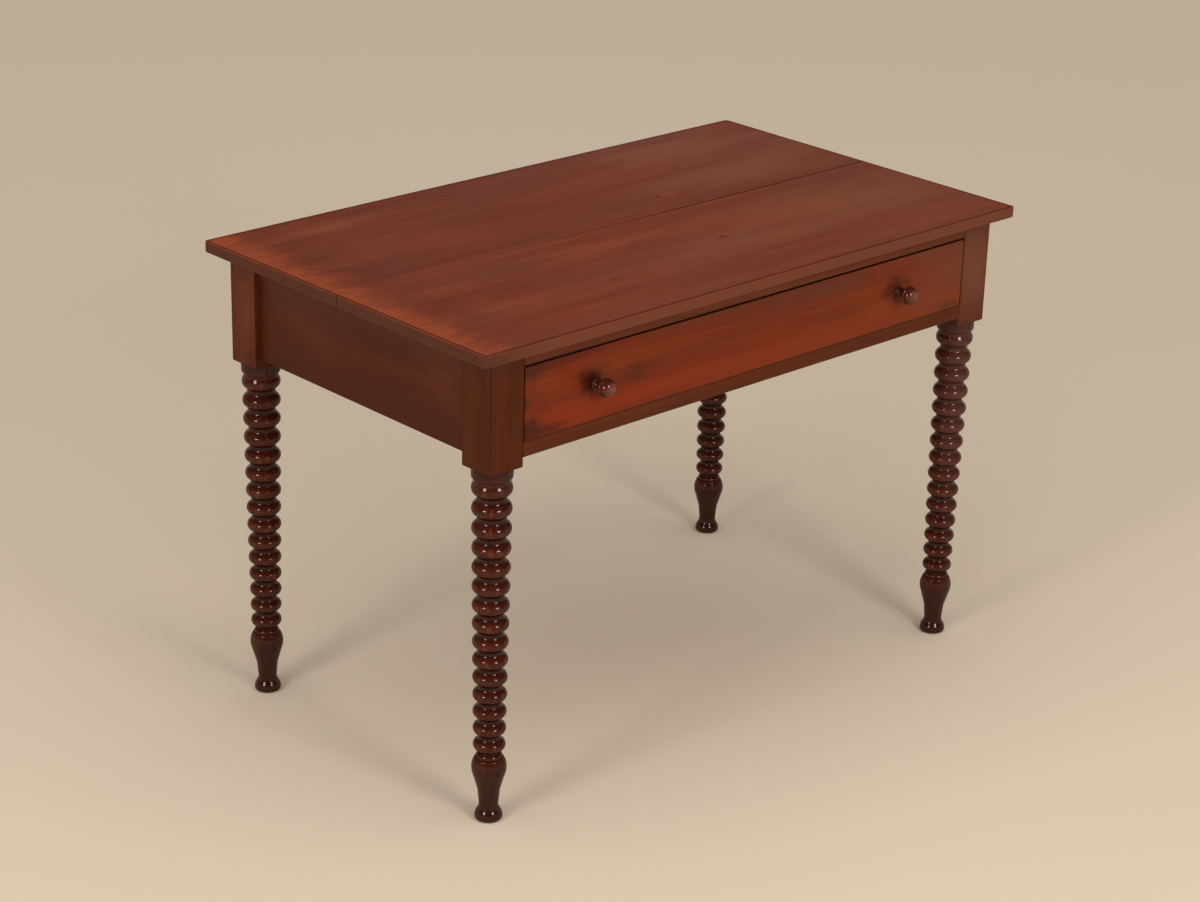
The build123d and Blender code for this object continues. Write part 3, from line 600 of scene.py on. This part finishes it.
def polished_turning(name, centre, tones):
    """Thick shellac friction-polished on the lathe: clear gloss over dark red-brown. The grooves are painted
    nearly black, for grime in them and for the shade that falls there, and small places on the bead crests
    are orange."""
    made = wood(name, "z", centre + leg_heart, tones, turning_gloss)
    shader = made.node_tree.nodes["Principled BSDF"]
    shader.inputs["Coat Weight"].default_value = 0.58
    shader.inputs["Coat Roughness"].default_value = 0.115
    shader.inputs["Specular IOR Level"].default_value = 0
    tree = made.node_tree
    place = node(tree, "ShaderNodeTexCoord", {}, {}).outputs["Object"]
    off = node(tree, "ShaderNodeVectorMath", {"operation": "SUBTRACT"}, {0: place, 1: centre}).outputs[0]
    level = node(tree, "ShaderNodeVectorMath", {"operation": "MULTIPLY"}, {0: off, 1: (1, 1, 0)}).outputs[0]
    radius = node(tree, "ShaderNodeVectorMath", {"operation": "LENGTH"}, {0: level}).outputs["Value"]
    height = node(tree, "ShaderNodeSeparateXYZ", {}, {0: place}).outputs[2]
    bead_line = between(height, vase_neck_height, post_bottom, bottom_bead_radius, top_bead_radius)
    crest = node(tree, "ShaderNodeMapRange", {"clamp": False}, bead_line).outputs[0]
    depth = node(tree, "ShaderNodeMath", {"operation": "SUBTRACT"}, {0: crest, 1: radius}).outputs[0]
    # Small orange places on the crests of the beads.
    speckle = node(tree, "ShaderNodeMapping", {}, {"Vector": place, "Scale": (130, 130, 60)}).outputs[0]
    speckle = node(tree, "ShaderNodeTexNoise", {}, {"Vector": speckle, "Scale": 1, "Detail": 3}).outputs["Fac"]
    orange_places = node(tree, "ShaderNodeMapRange", smooth, between(speckle, 0.52, 0.7, 0, 0.5)).outputs[0]
    on_crest = node(tree, "ShaderNodeMapRange", smooth, between(depth, 0.001, 0.004, 1, 0)).outputs[0]
    above_vase = between(height, vase_neck_height - 0.004, vase_neck_height, 0.2, 1)
    above_vase = node(tree, "ShaderNodeMapRange", smooth, above_vase).outputs[0]
    below_collar = between(height, post_bottom - 0.022, post_bottom - 0.016, 1, 0)
    below_collar = node(tree, "ShaderNodeMapRange", smooth, below_collar).outputs[0]
    for limit in (on_crest, above_vase, below_collar):
        orange_places = node(tree, "ShaderNodeMath", {"operation": "MULTIPLY"}, {0: orange_places, 1: limit}).outputs[0]
    lay_colour(made, orange_places, "#6E3018")
    # Grime and painted shade: the grooves go nearly black as they deepen, above the vase.
    groove = node(tree, "ShaderNodeMapRange", smooth, between(depth, 0.003, 0.0072, 0, 0.7)).outputs[0]
    groove = node(tree, "ShaderNodeMath", {"operation": "MULTIPLY"}, {0: groove, 1: above_vase}).outputs[0]
    lay_colour(made, groove, "#200B06")
    # The vase, the foot and the collar took more stain than the beads.
    dark_stain = "#220602"
    collar_bottom = post_bottom - collar_length
    colour_by_height(made, vase_neck_height - 0.03, vase_neck_height - 0.01, 0.5, 0, dark_stain)
    colour_by_height(made, collar_bottom - 0.002, collar_bottom + 0.004, 0, 0.45, dark_stain)
    return made


leg_names = ["leg_front_left", "leg_front_right", "leg_back_left", "leg_back_right"]
low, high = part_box(leg_names[0])
post_size = high.x - low.x
leg_axis = Vector(((low.x + high.x) / 2, (low.y + high.y) / 2, 0))
turning = turned("turning", leg_outline(), leg_axis, Vector((0, 0, 1)), Vector((1, 0, 0)), 64)
bpy.ops.object.mode_set(mode="OBJECT")
post = block("post", Vector((low.x, low.y, post_bottom)), high)
pick(post, "edges", lambda edge: along(edge, 2))
bpy.ops.mesh.bevel(offset=post_arris, segments=3, affect="EDGES")
pick(post, "edges", lambda edge: max(v.co.z for v in edge.verts) < post_bottom + touching)
bpy.ops.mesh.bevel(offset=post_end_arris, segments=3, affect="EDGES")
hold_flat(post)
bpy.ops.object.mode_set(mode="OBJECT")
bpy.ops.object.select_all(action="DESELECT")
turning.select_set(True)
post.select_set(True)
bpy.context.view_layer.objects.active = post
bpy.ops.object.join()
# The first finish is the post's and the second one the turning's.
for face in post.data.polygons:
    face.material_index = int(face.center.z < post_bottom)
first_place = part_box(leg_names[0])[0]
post_tones = ("#421806", "#4A1E06", "#52240A")
turning_tones = ("#270A03", "#391104", "#4C1B09")
# The box of the grime is centred on the post's top, so that it darkens the upright and the lower arrises.
post_top = Vector((0, 0, 0.72))
grime_reach = Vector((post_size / 2, post_size / 2, 0.17))
# Hands and light have faded some faces, and one patch paints sheen on a turning: the leg and its part, the
# place from the leg's axis and the floor, the reach, the colour and the strength.
leg_wear_and_sheen = (
    ("leg_front_left", "post", (-0.01, -0.01, 0.70), (0.06, 0.06, 0.09), "#5D2B1B", 0.7),
    ("leg_front_right", "post", (0.01, -0.03, 0.66), (0.11, 0.04, 0.22), "#6C3E2D", 0.85),
    # Painted sheen: a broad pinkish grey over the front of the front right turning.
    ("leg_front_right", "turning", (-0.01, -0.03, 0.40), (0.08, 0.06, 0.40), "#56332B", 0.6),
    ("leg_back_left", "post", (-0.03, 0, 0.66), (0.04, 0.08, 0.16), "#68331F", 0.8),
)
for leg_name in leg_names:
    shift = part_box(leg_name)[0] - first_place
    shift.z = 0
    leg = copy_to(post, leg_name + "_turned", shift)
    centre = leg_axis + shift
    # Satin shellac on the planed faces of the post, darker than the top, and gloss on the turning.
    satin = wood(leg_name + "_shellacked_post", "z", centre + leg_heart, post_tones, satin_gloss)
    gloss = polished_turning(leg_name + "_polished_turning", centre, turning_tones)
    finishes = {"post": satin, "turning": gloss}
    for marked_leg, part, place, reach, code, strength in leg_wear_and_sheen:
        if marked_leg == leg_name:
            patch(finishes[part], centre + Vector(place), reach, code, strength)
    arris_grime(satin, centre + post_top, grime_reach, 0.0022, "#2A0F07", 0.5)
    settle(leg, [leg_name], "table_frame", [satin, gloss])
bpy.data.objects.remove(post)


# ---- Aprons and rails ----
# Cherry boards tenoned into the posts, set back from their faces at the sides, with one narrow rail above
# the drawer and one below it. Their outer faces have the same satin shellac, and their inner faces are bare.

def dress(names, finish):
    """Gives CAD nodes a finish."""
    for name in names:
        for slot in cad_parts[name].material_slots:
            slot.material = finish


apron_tones = ("#451C0D", "#4C200F", "#532513")
bare_cherry = "#694731"
rail_thickness = 0.022
for side, heart_x in (("left", -0.44), ("right", 0.44)):
    name = "side_apron_" + side
    low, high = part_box(name)
    finish = wood(name + "_shellacked_cherry", "y", (heart_x, 0, 0.60), apron_tones, satin_gloss)
    # The strip under the top is lighter, and the lower half darker.
    colour_by_height(finish, 0.66, 0.71, 0, 0.6, "#5F301C")
    colour_by_height(finish, 0.57, 0.64, 0.4, 0, "#401607")
    outer = low.x if side == "left" else high.x
    # Painted shade in the corner by the back post, where the apron is set back from the post's face.
    patch(finish, (outer, high.y - 0.02, 0.64), (0.02, 0.04, 0.14), "#3C170D", 0.7)
    patch(finish, (outer, low.y + 0.07, 0.665), (0.02, 0.09, 0.06), "#61301C", 0.6)
    patch(finish, (outer, high.y - 0.14, 0.660), (0.02, 0.14, 0.08), "#5A2D1D", 0.6)
    middle = (low.x + high.x) / 2
    bare_side(finish, 0, middle, side == "right", bare_cherry)
    dress([name], finish)

back = wood("back_apron_shellacked_cherry", "x", (0, 0.2, 0.6), apron_tones, satin_gloss)
low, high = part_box("back_apron")
bare_side(back, 1, (low.y + high.y) / 2, True, bare_cherry)
dress(["back_apron"], back)

rail_tones = ("#491D0D", "#53240F", "#5C2A14")
# The top rail is painted lighter than the bottom one, to make up for the shade under the top's overhang.
painted_light_rail_tones = ("#542515", "#5F2C19", "#69331D")
for name, heart, tones in (
    ("front_top_rail", (0, -0.2, 0.66), painted_light_rail_tones), ("front_bottom_rail", (0, -0.3, 0.52), rail_tones),
):
    low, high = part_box(name)
    finish = wood(name + "_shellacked_cherry", "x", heart, tones, satin_gloss)
    bare_side(finish, 1, low.y + rail_thickness, False, bare_cherry)
    dress([name], finish)


# ---- Drawer front ----
# One cherry board, dovetailed to the drawer's sides. It is the brightest piece: orange-red where it was
# wiped most, dark at the left end and round the knobs, where fingers have left wax and grime. The knobs'
# shadows are painted to their left, and a painted sheen lightens the right end.

front_tones = ("#62200D", "#6E290F", "#783013")
front_gloss = (0.36, 0.5)
front_skin = 0.004
drawer_face = wood("drawer_front_shellacked_cherry", "x", (0, -0.23, 0.60), front_tones, front_gloss)
low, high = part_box("drawer_front")
face_y = low.y
# The patches have their x and z, their reach along each, their colour and their strength. The last three
# are grime round the knobs, and the first and last of them also paint each knob's shadow on its left.
for x, z, reach_x, reach_z, code, strength in (
    (-0.30, 0.607, 0.42, 0.034, "#7E2A10", 0.8),
    (0.02, 0.605, 0.30, 0.022, "#7B2B12", 0.6),
    (-0.447, 0.640, 0.040, 0.11, "#5A2410", 0.5),
    (-0.450, 0.600, 0.040, 0.026, "#3A1B0E", 1),
    (-0.454, 0.642, 0.017, 0.014, "#40200F", 0.9),
    (-0.446, 0.686, 0.040, 0.024, "#452416", 1),
    (-0.430, 0.594, 0.10, 0.016, "#471B0E", 0.9),
    (-0.420, 0.692, 0.20, 0.018, "#4B1D10", 0.9),
    (-0.05, 0.690, 0.40, 0.014, "#5C2C1D", 0.8),
    (0.11, 0.682, 0.30, 0.036, "#5D2D1D", 0.9),
    # Painted sheen at the right end: this row and the next lay a lighter, greyer brown.
    (0.38, 0.690, 0.20, 0.020, "#633323", 0.8),
    (0.42, 0.650, 0.22, 0.09, "#683726", 0.8),
    (0.425, 0.594, 0.06, 0.016, "#4E2A1A", 0.8),
    (0.18, 0.630, 0.10, 0.012, "#5C2813", 0.7),
    (-0.10, 0.650, 0.14, 0.014, "#5F2812", 0.6),
    (-0.335, 0.648, 0.050, 0.038, "#2A0B05", 0.9),
    (-0.250, 0.640, 0.080, 0.026, "#4F2210", 0.75),
    (0.298, 0.648, 0.044, 0.034, "#35120A", 0.9),
):
    patch(drawer_face, (x, face_y, z), (reach_x, 0.05, reach_z), code, strength)
flecks(drawer_face, 0.026, "#3A140A")
arris_grime(drawer_face, (low + high) / 2, (high - low) / 2, 0.002, "#2C0D06", 0.4)
# The upper edge, in the gap under the rail, is painted near black for the shadow there.
colour_by_height(drawer_face, high.z - 0.0006, high.z - 0.0002, 0, 0.9, "#180704")
bare_side(drawer_face, 1, face_y + front_skin, False, bare_cherry)
dress(["drawer_front"], drawer_face)


# ---- Drawer box ----
# Poplar sides, back and bottom, thin and left bare. Long years of dust and hands have browned the wood,
# most along the top edges of the sides and back, and the bottom is feathered into its grooves.

bare_tones = ("#7A5A3C", "#8C6B48", "#9C7B56")
bare_gloss = (0.65, 0.85)
for name, grain in (
    ("drawer_side_left", "y"), ("drawer_side_right", "y"), ("drawer_back", "x"), ("drawer_bottom", "x"),
):
    low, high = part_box(name)
    heart = (low.x * 0.8, low.y * 0.8, low.z - 0.08)
    raw = wood(name + "_bare_poplar", grain, heart, bare_tones, bare_gloss)
    if name != "drawer_bottom":
        colour_by_height(raw, high.z - 0.02, high.z, 0, 0.55, "#54381F")
    arris_grime(raw, (low + high) / 2, (high - low) / 2, 0.003, "#4A3220", 0.4)
    dress([name], raw)


# ---- Runners, guides, kickers, stops and glue blocks ----
# Sawn poplar strips nailed and glued inside the frame, never finished, and dark with dust. The drawer has
# polished the runners' upper faces.

sawn_tones = ("#5B4129", "#76583A", "#8D6E4A")
sawn_gloss = (0.7, 0.9)
for name in (
    "drawer_runner_left", "drawer_runner_right", "drawer_guide_left", "drawer_guide_right",
    "drawer_kicker_left", "drawer_kicker_right", "drawer_stops", "top_glue_blocks",
):
    low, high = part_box(name)
    grain = "y" if high.y - low.y > high.x - low.x else "x"
    heart = (low.x - 0.05, low.y - 0.05, low.z - 0.06)
    strip = wood(name + "_sawn_poplar", grain, heart, sawn_tones, sawn_gloss)
    if "runner" in name:
        colour_by_height(strip, high.z - 0.002, high.z, 0, 0.6, "#9A7B52")
    dress([name], strip)


# ---- Knobs ----
# Turned cherry with a round tenon glued into the drawer front. Two half-round rings stand at the base, and a
# waist swells into a rimmed, low-domed head, polished by fingers.

knob_head_radius = 0.0147
knob_rim_start = 0.019
knob_rim_end = 0.0225
knob_groove_radius = 0.0074
knob_base_width = 0.004
knob_ring_width = 0.003
knob_neck_radius = 0.0064
knob_neck_distance = 0.011
knob_rim_round = 0.001
knob_dome_edge = 0.0105
knob_dome_rise = 0.0032
knob_tenon_radius = 0.006
knob_tones = ("#36120A", "#4E1C0E", "#622A17")
knob_gloss = (0.3, 0.4)

low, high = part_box("drawer_knob_left")
knob_projection = face_y - low.y
tenon_end = face_y - high.y
rim_radius = knob_head_radius - knob_rim_round
ring_end = knob_base_width + knob_ring_width
waist = Vector((knob_neck_radius, knob_neck_distance))
rim_turn = 2 * atan(2 * knob_rim_round / (knob_rim_end - knob_rim_start))
dome_edge = Vector((knob_dome_edge, knob_projection - knob_dome_rise))
ring_meeting = Vector((knob_groove_radius, ring_end))
knob_outline = [Vector((0, tenon_end)), Vector((knob_tenon_radius, tenon_end))]
knob_outline += [Vector((knob_tenon_radius, 0)), Vector((knob_groove_radius, 0))]
knob_outline += arc(knob_outline[-1], (knob_groove_radius, knob_base_width), (1, 0))
knob_outline += arc(knob_outline[-1], ring_meeting, (1, 0))
knob_outline += arc(waist, ring_meeting, (0, -1))[-2::-1] + [waist]
knob_outline += arc(waist, (rim_radius, knob_rim_start), (0, 1))
knob_outline += arc(knob_outline[-1], (rim_radius, knob_rim_end), (sin(rim_turn), cos(rim_turn)))
knob_outline += arc(knob_outline[-1], dome_edge, (0, 1))
knob_outline += arc((0, knob_projection), dome_edge, (1, 0))[-2::-1] + [Vector((0, knob_projection))]

for name in ("drawer_knob_left", "drawer_knob_right"):
    low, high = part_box(name)
    centre = Vector(((low.x + high.x) / 2, face_y, (low.z + high.z) / 2))
    knob = turned(name + "_turned", knob_outline, centre, Vector((0, -1, 0)), Vector((0, 0, 1)), 48)
    # Friction-polished shellac: glossy dark red-brown.
    heart = (centre.x, 0, centre.z - 0.03)
    polish = wood(name + "_polished_cherry", "y", heart, knob_tones, knob_gloss)
    shader = polish.node_tree.nodes["Principled BSDF"]
    shader.inputs["Coat Weight"].default_value = 0.75
    shader.inputs["Coat Roughness"].default_value = 0.14
    shader.inputs["Specular IOR Level"].default_value = 0
    # The dome is painted lighter for the light that falls on it.
    patch(polish, (centre.x, low.y, centre.z), (0.016, 0.012, 0.016), "#74402F", 0.8)
    # Painted shade darkens the base, where the knob meets the drawer front.
    patch(polish, (centre.x, face_y, centre.z), (0.014, 0.010, 0.014), "#250B06", 0.8)
    settle(knob, [name], "drawer", [polish])


# ---- Screws and nails ----
# Hand-filed wood screws hold the top, and cut nails hold the runners, guides and drawer bottom. The iron has
# gone dark brown with a thin, dry rust.

iron = bpy.data.materials.new("rusted_wrought_iron")
iron.use_nodes = True
tree = iron.node_tree
shader = tree.nodes["Principled BSDF"]
place = node(tree, "ShaderNodeTexCoord", {}, {}).outputs["Object"]
pitted = node(tree, "ShaderNodeTexNoise", {}, {"Vector": place, "Scale": 900, "Detail": 4}).outputs["Fac"]
rust = node(tree, "ShaderNodeValToRGB", {}, {"Fac": pitted})
rust.color_ramp.elements[0].position = 0.4
rust.color_ramp.elements[0].color = colour("#2C2622")
rust.color_ramp.elements[1].position = 0.62
rust.color_ramp.elements[1].color = colour("#5A3A28")
tree.links.new(rust.outputs["Color"], shader.inputs["Base Color"])
rough = node(tree, "ShaderNodeMapRange", smooth, between(pitted, 0.4, 0.6, 0.45, 0.8)).outputs[0]
tree.links.new(rough, shader.inputs["Roughness"])
metal = node(tree, "ShaderNodeMapRange", smooth, between(pitted, 0.45, 0.6, 0.9, 0.2)).outputs[0]
tree.links.new(metal, shader.inputs["Metallic"])
pits = node(tree, "ShaderNodeBump", {}, {"Height": pitted, "Strength": 0.5, "Distance": 0.0001}).outputs[0]
tree.links.new(pits, shader.inputs["Normal"])
dress(["top_screws", "runner_nails", "guide_nails", "drawer_bottom_nails"], iron)
